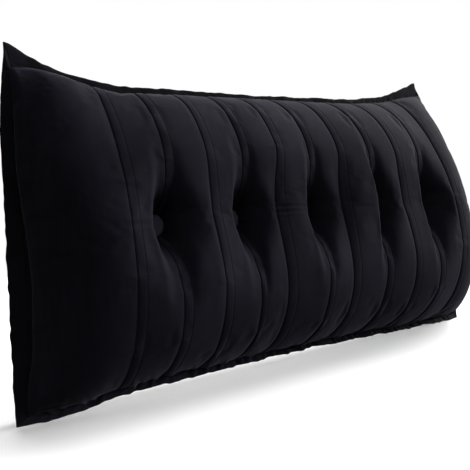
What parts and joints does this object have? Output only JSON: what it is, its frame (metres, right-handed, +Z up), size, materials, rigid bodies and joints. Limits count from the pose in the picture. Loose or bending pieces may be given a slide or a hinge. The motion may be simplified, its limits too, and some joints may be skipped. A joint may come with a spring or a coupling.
{
  "type": "lumbar support cushion",
  "caption": "Long upright back cushion in dark velvet: flat zipped back, deep rounded front sewn in upright gores, stitched flange round the edge and deep-buttoned tufts.",
  "frame": {"origin": "middle of the box's underside, on the seat that the cushion stands on", "axes": "+X along the cushion's length, to the right seen from the front; -Y is the rounded front that the sitter leans on and +Y the flat back; +Z up along its height"},
  "size_m": [0.89, 0.1879, 0.521],
  "materials": {
    "velvet_cover": "near-black short-pile velvet with a faint violet sheen",
    "velvet_flange": "near-black velvet, two layers stitched flat",
    "velvet_button": "near-black velvet stretched over a button shell",
    "back_cloth": "near-black velvet, flatter pile",
    "back_button": "matte black",
    "wadding": "white polyester wadding",
    "foam": "cream upholstery foam",
    "twine": "waxed black upholstery twine",
    "zip_tape": "woven black tape",
    "zip_teeth": "black nylon coil",
    "zip_metal": "black lacquered zinc"
  },
  "bodies": {
    "cushion": {"end_panel_left": "velvet_cover", "front_gore_01": "velvet_cover", "front_gore_02": "velvet_cover", "front_gore_03": "velvet_cover", "front_gore_04": "velvet_cover", "front_gore_05": "velvet_cover", "front_gore_06": "velvet_cover", "front_gore_07": "velvet_cover", "front_gore_08": "velvet_cover", "front_gore_09": "velvet_cover", "front_gore_10": "velvet_cover", "end_panel_right": "velvet_cover", "front_wadding": "wadding", "foam_core": "foam", "back_wadding": "wadding", "back_panel_upper": "back_cloth", "back_panel_lower": "back_cloth", "flange_top": "velvet_flange", "flange_left": "velvet_flange", "flange_right": "velvet_flange", "flange_bottom": "velvet_flange", "front_button_1": "velvet_button", "front_button_2": "velvet_button", "front_button_3": "velvet_button", "front_button_4": "velvet_button", "front_button_5": "velvet_button", "back_button_1": "back_button", "back_button_2": "back_button", "back_button_3": "back_button", "back_button_4": "back_button", "back_button_5": "back_button", "tufting_twine_1": "twine", "tufting_twine_2": "twine", "tufting_twine_3": "twine", "tufting_twine_4": "twine", "tufting_twine_5": "twine", "zip_tape_lower": "zip_tape", "zip_tape_upper": "zip_tape", "zip_teeth_lower": "zip_teeth", "zip_teeth_upper": "zip_teeth", "zip_bottom_stop": "zip_metal", "zip_top_stop_lower": "zip_metal", "zip_top_stop_upper": "zip_metal"},
    "slider": {"zip_slider": "zip_metal"},
    "pull_tab": {"zip_pull_tab": "zip_metal"}
  },
  "joints": [
    {"name": "zip_slide", "type": "slide", "parent": "cushion", "child": "slider", "axis": [-1, 0, 0], "range_m": [0, 0.64]},
    {"name": "pull_tab_hinge", "type": "hinge", "parent": "slider", "child": "pull_tab", "pos_m": [0.325, 0.08755, 0.07], "axis": [0, 0, -1], "range_deg": [0, 160]}
  ]
}
